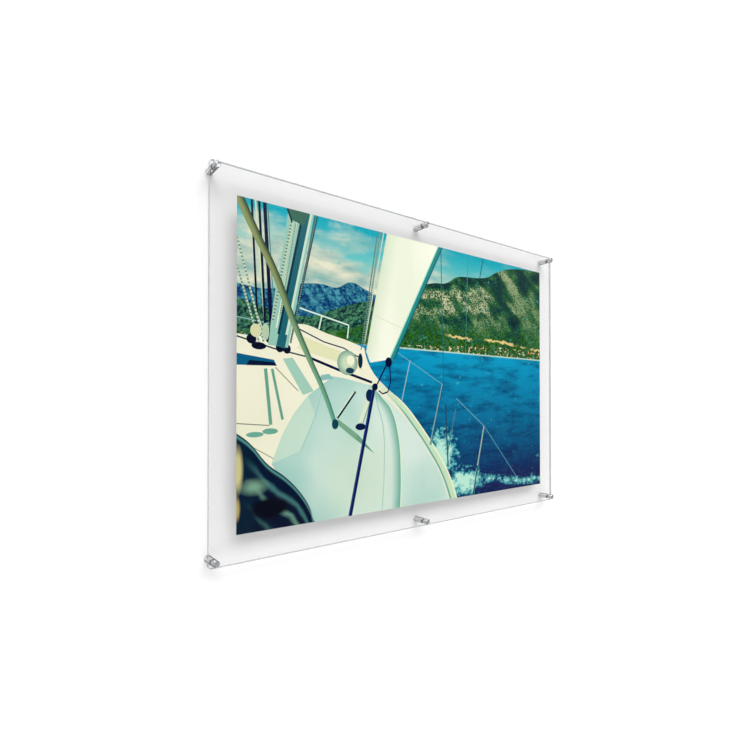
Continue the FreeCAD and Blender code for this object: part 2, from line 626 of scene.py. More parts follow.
class Seascape(Ink):
    """A view over a sailing boat's deck to a green coast."""

    def paint(self) -> None:
        """Paints the whole picture, from the back to the front."""
        for part in (
            self.sky,
            self.far_hills,
            self.coast,
            self.sea,
            self.hull,
            self.cabin,
            self.foredeck,
            self.sail,
            self.rigging,
            self.mast,
            self.shadows,
            self.pole,
            self.sheet_rope,
            self.rails,
            self.folded_cloth,
        ):
            part()

    def sky(self) -> None:
        """Paints a blue sky with banks of cream cloud."""
        self.colour = self.blend(self.ramp(self.up, 0.82, 1.0), (146, 212, 204), (46, 172, 188))
        bank = self.grain(3.4, 10.5, 7.0, 0.62)
        cover = self.math("ADD", bank, self.ramp(self.up, 0.80, 0.99, 0.20, -0.13))
        lit = self.ramp(self.grain(7.0, 22.0, 5.0), 0.34, 0.66)
        cloud = self.blend(lit, (146, 184, 180), (230, 228, 206))
        open_right = self.ramp(self.across, 0.7, 0.95, 1.0, 0.30)
        self.lay(cloud, self.ramp(cover, 0.38, 0.58), open_right)

    def far_hills(self) -> None:
        """Paints blue hills in the distance on the left and the woods under them."""
        top = self.skyline(
            (0.0, 0.742), (0.10, 0.738), (0.2, 0.766), (0.29, 0.778), (0.35, 0.774), (0.41, 0.80),
            (0.47, 0.784), (0.58, 0.75), (1.5, 0.6),
        )
        low = self.skyline((0.0, 0.70), (0.14, 0.672), (0.25, 0.668), (0.34, 0.70), (0.5, 0.745), (1.5, 0.7))
        speckle = self.ramp(self.grain(85.0, 110.0, 3.0, 0.7), 0.3, 0.7, -0.30, 0.30)
        for outline, relief, lit, dark, pale in (
            (top, (16.0, 20.0, 0.9, 4.0, 2.6), 0.80, (8, 62, 114), (98, 164, 176)),
            (low, (22.0, 30.0, -0.6, 4.0, 2.2), 0.82, (2, 46, 58), (104, 160, 122)),
        ):
            slope = self.math("ADD", self.relief(*relief), speckle)
            self.lay(self.blend(self.ramp(slope, 0.30, lit), dark, pale), self.under(outline))

    def coast(self) -> None:
        """Paints the green hillside on the right, its bare ridges and the houses on the shore."""
        hill = self.under(self.skyline(
            (0.0, 0.60), (0.66, 0.74), (0.74, 0.832), (0.80, 0.852), (0.87, 0.862), (0.94, 0.897),
            (1.0, 0.905), (1.06, 0.91), (1.12, 0.922), (1.19, 0.955), (1.28, 0.982), (1.5, 1.0),
        ))
        tree = self.grain(80.0, 110.0, 4.0, 0.8)
        self.lay(self.blend(self.ramp(tree, 0.40, 0.64), (8, 58, 52), (78, 142, 84)), hill)
        mass = self.relief(3.4, 5.2, 1.2, 2.0, 2.3)
        ridges = self.relief(15.0, 22.0, 0.8, 4.0, 1.5)
        slope = self.math("MULTIPLY_ADD", ridges, 0.6, self.math("MULTIPLY", mass, 0.4))
        fleck = self.ramp(self.grain(130.0, 160.0, 3.0, 0.8), 0.3, 0.7, -0.28, 0.28)
        broken = self.math("ADD", slope, fleck)
        high = self.ramp(self.up, 0.66, 0.78)
        self.lay((108, 156, 104), hill, self.ramp(broken, 0.49, 0.76, 0.0, 0.8))
        nearer = self.ramp(self.across, 1.0, 1.4, 1.0, 0.3)
        rocks = (self.ramp(mass, 0.48, 0.58), self.ramp(broken, 0.54, 0.66))
        self.lay((216, 214, 182), hill, self.both(high, nearer, *rocks))
        above = self.ramp(self.up, 0.62, 0.72)
        self.lay((8, 52, 70), hill, self.ramp(mass, 0.48, 0.34, 0.0, 0.66), above)
        self.lay((2, 34, 52), hill, self.ramp(broken, 0.44, 0.28, 0.0, 0.85), above)
        lush = self.blend(self.ramp(tree, 0.42, 0.62), (6, 56, 32), (84, 142, 52))
        groves = self.ramp(self.grain(20.0, 44.0, 4.0), 0.44, 0.58)
        self.lay(lush, hill, self.ramp(self.up, 0.72, 0.64), groves)
        self.shore_houses()

    def shore_houses(self) -> None:
        """Paints a broken track above the shore and the houses below it."""
        track = self.skyline(
            (0.0, 0.60), (0.86, 0.655), (1.0, 0.648), (1.12, 0.652), (1.3, 0.645), (1.42, 0.632), (1.5, 0.63)
        )
        ragged = self.math("ADD", self.up, self.ramp(self.grain(40.0, 40.0), 0.3, 0.7, -0.006, 0.006))
        kept = self.both(self.near(ragged, track, 0.009), self.ramp(self.grain(9.0, 2.0), 0.42, 0.5))
        self.lay((226, 206, 150), kept, self.ramp(self.across, 0.82, 0.9))
        homes = self.ramp(self.grain(60.0, 84.0, 2.0, 0.7), 0.57, 0.61)
        tone = self.blend(self.ramp(self.grain(38.0, 12.0), 0.45, 0.55), (240, 186, 146), (238, 232, 204))
        low = self.skyline((0.0, 0.60), (0.9, 0.612), (1.08, 0.628), (1.25, 0.625), (1.5, 0.62))
        self.lay(tone, homes, self.under(low))

    def sea(self) -> None:
        """Paints a rippled blue sea, a bow wave and its wash, and the wire stays before them."""
        shore = self.skyline((0.0, 0.592), (0.6, 0.589), (1.5, 0.583))
        water = self.under(shore)
        base = self.blend(self.ramp(self.up, 0.58, 0.06), (10, 164, 202), (0, 26, 96))
        swell = self.ramp(self.grain(6.0, 26.0, 4.0, 0.6), 0.54, 0.34, 0.0, 0.65)
        ripple = self.ramp(self.grain(24.0, 95.0, 3.0, 0.6), 0.50, 0.72)
        base = self.mix(swell, base, linear((0, 34, 92)))
        bright = self.both(ripple, self.ramp(self.up, 0.1, 0.6, 0.16, 0.5))
        base = self.mix(bright, base, linear((58, 160, 186)))
        self.lay(base, water)
        self.lay((186, 214, 200), self.near(self.up, shore, 0.006), self.ramp(self.across, 0.6, 0.65))
        self.lay((150, 208, 214), self.ramp(self.grain(24.0, 150.0, 2.0), 0.77, 0.83, 0.0, 0.7), water)
        foam = self.grain(26.0, 34.0, 5.0, 0.72)
        wash = self.skyline((0.0, 0.0), (0.85, 0.05), (1.0, 0.075), (1.16, 0.055), (1.3, 0.035), (1.5, 0.03))
        strip = self.away(self.up, wash, 0.0, 0.03, 0.55)
        discs = (self.disc((0.845, 0.185), 0.125, 0.125), self.disc((0.97, 0.06), 0.17, 0.085))
        fade = self.largest(*discs, strip)
        thick = self.math("MULTIPLY_ADD", fade, 0.42, foam)
        self.lay((0, 44, 108), self.ramp(fade, 0.0, 0.4, 0.0, 0.7), water)
        self.lay((106, 186, 186), self.ramp(thick, 0.60, 0.70))
        self.lay((196, 232, 216), self.ramp(thick, 0.70, 0.80))
        self.strokes(
            ((0.842, 1.0), (0.857, 0.46), 0.004, (58, 116, 124)),
            ((1.0, 1.0), (0.985, 0.60), 0.003, (92, 152, 150)),
            ((1.096, 1.0), (1.072, 0.905), 0.0045, (46, 100, 112)),
        )

    def hull(self) -> None:
        """Paints the cream deck up to the edge of the hull."""
        edge = self.upright(
            (0.93, 0.0), (0.885, 0.10), (0.815, 0.20), (0.73, 0.30), (0.65, 0.38), (0.56, 0.445),
            (0.50, 0.50), (0.47, 0.56), (0.44, 1.0),
        )
        top = self.skyline(
            (0.0, 0.592), (0.13, 0.60), (0.20, 0.638), (0.32, 0.615), (0.44, 0.586), (0.50, 0.56),
            (0.56, 0.50), (0.7, 0.5), (1.5, 0.5),
        )
        deck = self.both(self.before(edge), self.under(top))
        self.lay(self.blend(self.grain(3.0, 5.0, 3.0), (226, 226, 204), (246, 243, 224)), deck)
        inner = self.math("SUBTRACT", edge, 0.034)
        outboard = self.math("GREATER_THAN", self.across, inner)
        self.lay((206, 226, 196), deck, outboard, self.ramp(self.up, 0.48, 0.40))
        self.lay((124, 180, 168), self.near(self.across, inner, 0.010), self.ramp(self.up, 0.42, 0.34))
        self.lay((236, 240, 214), self.near(self.across, edge, 0.008), self.ramp(self.up, 0.44, 0.40))

    def cabin(self) -> None:
        """Paints the mint-green cabin roof that fills the lower middle."""
        left = self.upright(
            (0.26, 0.0), (0.18, 0.10), (0.112, 0.20), (0.150, 0.290), (0.188, 0.352), (0.240, 0.410),
            (0.335, 0.474), (0.36, 0.52), (0.4, 1.0), sharp=True,
        )
        right = self.upright(
            (0.885, 0.0), (0.84, 0.10), (0.77, 0.20), (0.69, 0.295), (0.60, 0.375), (0.50, 0.45),
            (0.47, 0.56), (0.4, 1.0),
        )
        top = self.skyline(
            (0.0, 0.475), (0.335, 0.475), (0.38, 0.470), (0.50, 0.446), (0.6, 0.42), (1.5, 0.4), sharp=True
        )
        past_left = self.math("SUBTRACT", self.across, left)
        roof = self.both(self.math("GREATER_THAN", past_left, 0.0), self.before(right), self.under(top))
        soft = self.grain(3.2, 2.2, 3.0, 0.45)
        self.lay(self.blend(self.ramp(soft, 0.36, 0.62), (186, 216, 206), (218, 232, 222)), roof)
        self.lay((142, 190, 182), roof, self.ramp(past_left, 0.0, 0.16, 0.5, 0.0))
        facet = self.patch(
            (0.112, 0.20), (0.215, 0.235), (0.268, 0.345), (0.240, 0.412), (0.188, 0.352), (0.150, 0.290)
        )
        self.lay((214, 230, 210), self.math("MULTIPLY", facet, 0.55))
        self.lines(((160, 198, 186), 0.0025, (0.215, 0.235), (0.268, 0.345), (0.300, 0.445)))
        fold = self.upright(
            (0.632, 0.0), (0.635, 0.15), (0.622, 0.27), (0.59, 0.36), (0.53, 0.43), (0.5, 1.0)
        )
        band = self.ramp(self.math("SUBTRACT", fold, self.across), 0.0, 0.045, 1.0, 0.0)
        self.lay((112, 176, 160), roof, band, self.before(fold))
        self.lay((224, 238, 214), roof, self.near(self.across, fold, 0.005))
        seam = self.upright((0.545, 0.0), (0.555, 0.15), (0.55, 0.3), (0.52, 0.4), (0.5, 1.0))
        self.lay((150, 192, 178), roof, self.near(self.across, seam, 0.003))
        glow = self.disc((0.44, 0.13), 0.20, 0.24)
        self.lay((202, 220, 198), roof, self.ramp(glow, 0.0, 0.9, 0.0, 0.6))

    def foredeck(self) -> None:
        """Paints the foredeck's fittings: a toe rail, a hatch, a ball fender and the far rails."""
        self.patches(((226, 226, 192), (0.20, 0.56), (0.46, 0.50), (0.44, 0.54), (0.22, 0.60)))
        self.lines(
            ((14, 28, 72), 0.009, (0.24, 0.535), (0.36, 0.497), (0.50, 0.458)),
            ((60, 84, 96), 0.005, (0.0, 0.585), (0.12, 0.555), (0.24, 0.535)),
            ((44, 70, 84), 0.0045, (0.21, 0.622), (0.30, 0.588), (0.38, 0.572), (0.44, 0.545)),
        )
        self.patches(
            ((24, 104, 140), (0.0, 0.50), (0.13, 0.502), (0.12, 0.520), (0.0, 0.535)),
            ((12, 30, 66), (0.03, 0.50), (0.13, 0.502), (0.12, 0.512), (0.04, 0.516)),
            ((150, 194, 188), (0.28, 0.458), (0.34, 0.468), (0.32, 0.483), (0.29, 0.478)),
        )
        ball = self.disc((0.395, 0.523), 0.042, 0.042)
        tone = self.blend(self.ramp(ball, 0.0, 0.55), (138, 172, 156), (206, 222, 196))
        self.lay(tone, self.math("GREATER_THAN", ball, 0.0))
        self.spots(
            ((0.408, 0.532), 0.016, 0.017, (240, 238, 214)),
            ((0.405, 0.497), 0.017, 0.010, (44, 78, 96)),
        )
        self.lines(
            ((216, 234, 222), 0.005, (0.21, 0.69), (0.40, 0.652), (0.394, 0.606)),
            ((216, 234, 222), 0.005, (0.292, 0.672), (0.281, 0.628)),
            ((150, 190, 190), 0.003, (0.0, 0.642), (0.11, 0.63)),
        )

    def sail(self) -> None:
        """Paints the cream sail, the teal band down its trailing edge and the ropes before it."""
        cloth = self.patch((0.568, 1.0), (0.474, 0.565), (0.492, 0.528), (0.592, 0.545), (0.842, 1.0))
        soft = self.grain(4.0, 1.6, 3.0, 0.4)
        self.lay(self.blend(self.ramp(soft, 0.35, 0.65), (236, 241, 222), (250, 249, 236)), cloth)
        shade = self.ramp(self.along(Vector((0.98, 0, -0.21))), 0.345, 0.41, 0.6, 0.0)
        self.lay((206, 220, 194), cloth, shade)
        self.lay((222, 226, 200), cloth, self.stroke((0.50, 0.70), (0.80, 0.62), 0.003))
        self.strokes(
            ((0.842, 1.004), (0.590, 0.540), 0.020, (64, 148, 146)),
            ((0.829, 1.004), (0.577, 0.540), 0.005, (186, 230, 210)),
            ((0.853, 1.004), (0.601, 0.545), 0.004, (28, 92, 104)),
            ((0.553, 1.0), (0.468, 0.60), 0.004, (206, 222, 200)),
        )
        self.ropes(
            ((0.538, 1.0), (0.462, 0.58), 0.0055, (170, 192, 172), (70, 106, 104)),
            ((0.526, 1.0), (0.452, 0.57), 0.0045, (140, 168, 156), (48, 80, 84)),
        )

    def rigging(self) -> None:
        """Paints the ropes on the left and the dark blocks they run to."""
        self.strokes(
            ((0.046, 1.0), (0.066, 0.62), 0.007, (18, 28, 48)),
            ((0.058, 1.0), (0.090, 0.62), 0.005, (210, 220, 192)),
            ((0.070, 1.0), (0.092, 0.60), 0.008, (14, 24, 50)),
            ((0.088, 1.0), (0.112, 0.60), 0.012, (16, 30, 66)),
            ((0.098, 1.0), (0.120, 0.66), 0.004, (96, 150, 146)),
            ((0.130, 0.76), (0.104, 0.58), 0.005, (168, 204, 188)),
            ((0.084, 0.72), (0.098, 0.58), 0.004, (20, 34, 54)),
            ((0.062, 0.66), (0.098, 0.575), 0.004, (206, 218, 196)),
        )
        self.ropes(
            ((0.0, 0.880), (0.086, 0.572), 0.0065, (206, 218, 192), (122, 154, 140)),
            ((0.0, 0.795), (0.072, 0.566), 0.0060, (196, 212, 186), (118, 150, 136)),
        )
        self.spots(
            ((0.046, 0.580), 0.016, 0.015, (14, 24, 52)),
            ((0.070, 0.560), 0.024, 0.011, (14, 24, 52)),
            ((0.104, 0.592), 0.014, 0.022, (14, 24, 52)),
            ((0.140, 0.560), 0.014, 0.016, (14, 24, 52)),
            ((0.165, 0.556), 0.013, 0.015, (14, 24, 52)),
            ((0.060, 0.606), 0.018, 0.020, (214, 216, 180)),
            ((0.092, 0.605), 0.012, 0.026, (186, 204, 178)),
        )

    def mast(self) -> None:
        """Paints the mast, its dark slot and the lines beside it."""
        self.patches(((160, 200, 186), (0.170, 1.0), (0.100, 0.565), (0.168, 0.56), (0.262, 1.0)))
        self.strokes(
            ((0.238, 1.0), (0.142, 0.56), 0.030, (52, 112, 122)),
            ((0.222, 1.0), (0.135, 0.60), 0.008, (22, 62, 84)),
            ((0.252, 1.0), (0.163, 0.60), 0.008, (206, 226, 208)),
            ((0.268, 1.0), (0.176, 0.575), 0.004, (26, 52, 68)),
            ((0.276, 1.0), (0.184, 0.60), 0.004, (40, 70, 80)),
            ((0.204, 0.99), (0.128, 0.62), 0.004, (226, 234, 214)),
            ((0.186, 0.96), (0.144, 0.74), 0.010, (186, 208, 188)),
        )
        self.ropes(
            ((0.182, 0.97), (0.116, 0.64), 0.0065, (204, 212, 188), (104, 134, 124)),
            ((0.270, 1.0), (0.178, 0.575), 0.0045, (140, 168, 160), (40, 68, 78)),
            ((0.196, 0.96), (0.140, 0.66), 0.0045, (180, 198, 178), (104, 136, 128)),
        )
        self.patches(((74, 116, 102), (0.165, 1.0), (0.176, 0.968), (0.225, 0.955), (0.245, 1.0)))
        self.lines(((20, 40, 54), 0.006, (0.165, 1.0), (0.182, 0.960)))

    def shadows(self) -> None:
        """Paints the rigging's green shadows on the cream deck."""
        self.patches(((172, 206, 190), (0.150, 0.525), (0.222, 0.412), (0.262, 0.425), (0.185, 0.53)))
        self.strokes(
            ((0.092, 0.492), (0.110, 0.320), 0.011, (118, 168, 148)),
            ((0.114, 0.492), (0.150, 0.335), 0.009, (118, 168, 148)),
            ((0.0, 0.327), (0.105, 0.318), 0.003, (130, 140, 124)),
            ((0.125, 0.497), (0.205, 0.425), 0.003, (140, 140, 116)),
        )
        self.spots(
            ((0.058, 0.292), 0.028, 0.008, (122, 176, 158)),
            ((0.108, 0.300), 0.026, 0.009, (122, 176, 158)),
        )
        self.strokes(((0.05, 0.255), (0.12, 0.215), 0.003, (160, 166, 140)))

    def pole(self) -> None:
        """Paints the thick pole from the top left corner and its foot on the cabin roof."""
        axis = self.upright(
            (0.346, 0.31), (0.302, 0.42), (0.245, 0.53), (0.185, 0.65), (0.118, 0.80), (0.06, 0.90),
            (0.006, 1.0),
        )
        wide = self.ramp(self.up, 0.31, 1.0, 0.0085, 0.0165)
        share = self.math("DIVIDE", self.math("SUBTRACT", self.across, axis), wide)
        height = self.ramp(self.up, 0.35, 0.80)
        bright = self.blend(height, (122, 176, 150), (146, 158, 112))
        dark = self.blend(height, (76, 134, 118), (56, 74, 56))
        tone = self.mix(self.ramp(share, -0.2, 0.9), bright, dark)
        self.lay(tone, self.math("COMPARE", share, 0.0, 1.0), self.math("GREATER_THAN", self.up, 0.315))
        self.patches(
            ((136, 176, 150), (0.352, 0.315), (0.425, 0.262), (0.440, 0.276), (0.356, 0.332)),
            ((120, 164, 140), (0.425, 0.262), (0.512, 0.205), (0.440, 0.276)),
        )
        self.spots(((0.345, 0.315), 0.013, 0.017, (30, 78, 96)))
        self.strokes(
            ((0.354, 0.335), (0.428, 0.425), 0.009, (26, 58, 76)),
            ((0.352, 0.340), (0.422, 0.425), 0.004, (226, 234, 216)),
        )

    def sheet_rope(self) -> None:
        """Paints the blue rope, its knot at the sail's corner and the winch it passes."""
        navy = (20, 36, 96)
        self.strokes(
            ((0.490, 0.405), (0.452, 0.318), 0.022, (222, 230, 206)),
            ((0.497, 0.400), (0.460, 0.316), 0.005, (140, 178, 168)),
        )
        self.spots(
            ((0.450, 0.303), 0.022, 0.012, (18, 36, 78)),
            ((0.489, 0.412), 0.016, 0.022, (22, 48, 84)),
        )
        self.lines(
            (navy, 0.006, (0.573, 0.535), (0.525, 0.455), (0.497, 0.425)),
            (navy, 0.0055, (0.580, 0.535), (0.585, 0.462), (0.572, 0.425), (0.548, 0.418), (0.530, 0.430)),
            (navy, 0.015, (0.507, 0.430), (0.404, -0.01)),
            ((64, 88, 150), 0.003, (0.503, 0.430), (0.400, -0.01)),
        )
        self.spots(
            ((0.576, 0.533), 0.015, 0.018, (12, 22, 62)),
            ((0.513, 0.442), 0.013, 0.013, (16, 30, 70)),
            ((0.449, 0.532), 0.010, 0.026, (30, 54, 78)),
        )

    def rails(self) -> None:
        """Paints the posts and wires along the hull's edge."""
        self.strokes(
            ((0.620, 0.570), (0.850, 0.458), 0.003, (120, 176, 186)),
            ((0.930, 0.402), (1.100, 0.285), 0.003, (130, 184, 194)),
            ((1.100, 0.285), (1.325, 0.045), 0.003, (120, 176, 190)),
            ((0.680, 0.545), (0.638, 0.390), 0.005, (146, 188, 190)),
            ((0.850, 0.458), (0.782, 0.222), 0.007, (132, 168, 172)),
            ((0.854, 0.458), (0.788, 0.222), 0.003, (38, 84, 104)),
            ((0.867, 0.380), (0.882, 0.130), 0.007, (56, 84, 108)),
            ((0.926, 0.360), (0.880, 0.190), 0.006, (92, 130, 144)),
            ((1.100, 0.285), (1.058, 0.120), 0.009, (168, 192, 184)),
            ((1.058, 0.120), (1.026, -0.01), 0.009, (60, 92, 104)),
            ((1.104, 0.285), (1.062, 0.120), 0.003, (52, 92, 108)),
            ((1.050, 0.110), (1.030, 0.020), 0.003, (176, 206, 198)),
        )

    def folded_cloth(self) -> None:
        """Paints the dark folded cloth in the lower left corner."""
        top = self.skyline(
            (0.0, 0.298), (0.04, 0.268), (0.10, 0.20), (0.16, 0.155), (0.21, 0.105), (0.25, 0.045),
            (0.268, 0.0), (1.5, 0.0),
        )
        cloth = self.under(top)
        self.lay(self.blend(self.ramp(self.across, 0.0, 0.26), (14, 44, 66), (6, 24, 54)), cloth)
        weave = self.grain(9.0, 9.0, 3.0)
        run = self.ramp(self.across, 0.02, 0.10)
        for drop, width, tone in (
            (0.030, 0.022, (12, 28, 62)),
            (0.062, 0.018, (84, 130, 130)),
            (0.090, 0.016, (14, 26, 60)),
            (0.118, 0.018, (118, 156, 140)),
            (0.160, 0.026, (16, 24, 54)),
            (0.196, 0.016, (70, 108, 106)),
            (0.226, 0.022, (14, 20, 48)),
        ):
            sag = self.math("MULTIPLY_ADD", weave, 0.05, self.math("SUBTRACT", top, drop + 0.025))
            self.lay(tone, cloth, self.soft(sag, width), run)
        self.lay((8, 12, 34), cloth, self.ramp(self.disc((0.108, 0.066), 0.075, 0.036), 0.0, 0.35))
        self.lay((132, 168, 146), cloth, self.ramp(self.disc((0.055, 0.135), 0.055, 0.030), 0.0, 0.8))
        self.lay((104, 158, 154), cloth, self.soft(self.math("SUBTRACT", top, 0.010), 0.008))
        self.lay((206, 200, 150), cloth, self.ramp(self.disc((0.004, 0.19), 0.022, 0.09), 0.1, 0.6))
        self.lay((190, 174, 120), cloth, self.ramp(self.disc((0.0, 0.075), 0.016, 0.05), 0.1, 0.6))


@dataclass(frozen=True)
class SeascapePrint(Finish):
    """Photo paper, printed with the seascape on its front face."""

    low: Vector
    high: Vector
    front: float
    contrast: float = 1.16
    richness: float = 1.08
    bare: Colour = (236, 236, 233)
    bare_glint: Colour = (250, 250, 248)

    def surface(self, board: Board) -> Socket:
        """Paints the front face and leaves the others bare.

        Args:
            board: The board to wire on.

        Returns:
            The shader.
        """
        ink = Seascape(board.tree, self.low, self.high - self.low)
        ink.paint()
        printed = ink.math("LESS_THAN", ink.split(ink.place())[1], self.front + 0.05 * MM)
        fibre = ink.noise(ink.place(), 1600.0, 3.0, 0.6)
        picture = ink.add("Gamma", {"Color": ink.colour, "Gamma": self.contrast}).outputs[0]
        picture = ink.add("HueSaturation", {"Color": picture, "Saturation": self.richness}).outputs[0]
        return ink.shader(
            "BsdfPrincipled",
            Base_Color=ink.mix(printed, ink.blend(fibre, self.bare, self.bare_glint), picture),
            Roughness=ink.ramp(fibre, 0.3, 0.7, 0.36, 0.48),
            Specular_IOR_Level=0.06,
            Normal=ink.bump(fibre, 0.01 * MM, 0.25),
        )


class Workbench:
    """The modelling operators that the pieces share."""

    @staticmethod
    def activate(piece: Piece | None = None) -> None:
        """Selects one piece alone, in object mode.

        Args:
            piece: The piece, or None to select nothing.
        """
        if bpy.context.mode != "OBJECT":
            bpy.ops.object.mode_set(mode="OBJECT")
        bpy.ops.object.select_all(action="DESELECT")
        bpy.context.view_layer.objects.active = piece
        if piece:
            piece.select_set(True)

    @staticmethod
    def settle(piece: Piece, name: str) -> None:
        """Names a new piece and brings its object to the origin, unturned and unscaled.

        Args:
            piece: The piece, active and selected.
            name: Its name.
        """
        piece.name = name
        piece.data.name = name
        bpy.ops.object.transform_apply(location=True, rotation=True, scale=True)

    @staticmethod
    def modify(piece: Piece, kind: str, **settings: object) -> None:
        """Applies a modifier.

        Args:
            piece: The piece it changes.
            kind: The modifier's type.
            **settings: The modifier's own properties.
        """
        Workbench.activate(piece)
        modifier = piece.modifiers.new(kind.lower(), kind)
        for name, value in settings.items():
            setattr(modifier, name, value)
        bpy.ops.object.modifier_apply(modifier=modifier.name)

    @staticmethod
    def block(centre: Sequence[float], size: Sequence[float]) -> Piece:
        """Adds a block.

        Args:
            centre: Its centre.
            size: Its size along X, Y and Z.

        Returns:
            The block, active and selected.
        """
        Workbench.activate()
        bpy.ops.mesh.primitive_cube_add(size=1.0, location=centre, scale=size)
        return bpy.context.object

    @staticmethod
    def draw(name: str, profile: Sequence[Point]) -> Piece:
        """Draws a profile beside the Y axis, from point to point.

        Args:
            name: The piece's name.
            profile: Radius and Y of each point, in metres.

        Returns:
            The drawn line, in edit mode, all of it selected.
        """
        Workbench.activate()
        radius, depth = profile[0]
        bpy.ops.mesh.primitive_plane_add(size=MM, location=(radius, depth, 0.0))
        piece = bpy.context.object
        Workbench.settle(piece, name)
        bpy.ops.object.mode_set(mode="EDIT")
        bpy.ops.mesh.select_mode(type="VERT")
        bpy.ops.mesh.select_all(action="SELECT")
        bpy.ops.mesh.merge(type="CENTER")
        for here, there in zip(profile, profile[1:]):
            step = (there[0] - here[0], there[1] - here[1], 0.0)
            bpy.ops.mesh.extrude_region_move(TRANSFORM_OT_translate={"value": step})
        bpy.ops.mesh.select_all(action="SELECT")
        return piece

    @staticmethod
    def weld(threshold: float) -> None:
        """Joins the points that meet, turns the faces outward and leaves edit mode.

        Args:
            threshold: How far apart points may be and still be joined.
        """
        bpy.ops.mesh.select_all(action="SELECT")
        bpy.ops.mesh.remove_doubles(threshold=threshold)
        bpy.ops.mesh.normals_make_consistent(inside=False)
        bpy.ops.object.mode_set(mode="OBJECT")

    @staticmethod
    def turn(name: str, profile: Sequence[Point], steps: int, ease: float, segments: int = 2) -> Piece:
        """Turns a profile round the Y axis into a closed piece and eases its edges.

        Args:
            name: The piece's name.
            profile: Radius and Y of each point; it ends on the axis or where it starts.
            steps: How many flats the round gets.
            ease: How wide the eased edges are, or 0 to leave them sharp.
            segments: How many facets they get.

        Returns:
            The piece, in object mode.
        """
        piece = Workbench.draw(name, profile)
        bpy.ops.mesh.spin(steps=steps, angle=math.tau, center=(0, 0, 0), axis=(0, 1, 0))
        Workbench.weld(MERGE)
        if ease:
            Workbench.ease(piece, ease, segments)
        return piece

    @staticmethod
    def wind(
        name: str, shares: Sequence[Point], first: float, pitch: float, start: float, end: float
    ) -> Piece:
        """Winds a thread's profile along the Y axis and cuts it square at both ends.

        Args:
            name: The piece's name.
            shares: Radius and share of the pitch of each point, from 0 to 1.
            first: Y where the winding starts.
            pitch: How far one turn goes.
            start: Y of the first cut.
            end: Y of the second cut, past the first.

        Returns:
            The closed threaded bar, in object mode.
        """
        piece = Workbench.draw(name, [(radius, first + share * pitch) for radius, share in shares])
        turns = math.ceil((end - first) / pitch) + 2
        sweep = {"axis": "Y", "angle": math.tau, "steps": 40, "render_steps": 40}
        Workbench.modify(piece, "SCREW", screw_offset=pitch, iterations=turns, **sweep)
        bpy.ops.object.mode_set(mode="EDIT")
        bpy.ops.mesh.select_all(action="SELECT")
        bpy.ops.mesh.remove_doubles(threshold=MERGE)
        for cut, side in ((start, -1.0), (end, 1.0)):
            bpy.ops.mesh.select_all(action="SELECT")
            bpy.ops.mesh.bisect(
                plane_co=(0, cut, 0), plane_no=(0, side, 0), use_fill=True, clear_outer=True, threshold=1e-7
            )
        Workbench.weld(MERGE / 2)
        return piece

    @staticmethod
    def ease(piece: Piece, width: float, segments: int) -> None:
        """Breaks a piece's sharp edges and shades it.

        Args:
            piece: The piece.
            width: How wide the eased edge is.
            segments: How many facets it gets.
        """
        limit = math.radians(28)
        Workbench.modify(
            piece, "BEVEL", width=width, segments=segments, limit_method="ANGLE", angle_limit=limit
        )
        Workbench.shade(piece)

    @staticmethod
    def shade(piece: Piece, angle: float = 40.0) -> None:
        """Shades a piece smooth, up to an angle in degrees between its faces."""
        Workbench.activate(piece)
        bpy.ops.object.shade_smooth_by_angle(angle=math.radians(angle))

    @staticmethod
    def reshape(piece: Piece, rule: Callable[[float, float], float]) -> None:
        """Changes a piece's radius along its length and shades it as a thread.

        Args:
            piece: The piece, on the Y axis.
            rule: Gives the new radius from the old one and Y.
        """
        for vertex in piece.data.vertices:
            radius = math.hypot(vertex.co.x, vertex.co.z)
            if radius > 0:
                share = rule(radius, vertex.co.y) / radius
                vertex.co.x *= share
                vertex.co.z *= share
        Workbench.shade(piece, 32.0)


@dataclass
class Barrel:
    """The tube against the wall: threaded at the front, with a chamber for the screw's head."""

    outer: float
    wall: float
    front: float
    stud: float
    stud_tip: float
    base: float = 3.0 * MM
    chamber: float = 3.4 * MM
    screw_hole: float = 1.95 * MM
    thread_gap: float = 0.05 * MM
    runout: float = 1.0 * MM
    chamfer: float = 0.4 * MM

    def model(self) -> Piece:
        """Turns the barrel.

        Returns:
            The piece, on the Y axis.
        """
        edge = self.chamfer
        bore = self.stud + self.thread_gap
        bore_end = self.stud_tip + self.runout
        floor = self.wall - self.base
        profile = (
            (self.outer - edge, self.wall),
            (self.outer, self.wall - edge),
            (self.outer, self.front + edge),
            (self.outer - edge, self.front),
            (bore + edge / 2, self.front),
            (bore, self.front + edge / 2),
            (bore, bore_end),
            (self.chamber, bore_end),
            (self.chamber, floor),
            (self.screw_hole, floor),
            (self.screw_hole, self.wall),
            (self.outer - edge, self.wall),
        )
        return Workbench.turn("turned_barrel", profile, 112, 0.12 * MM)


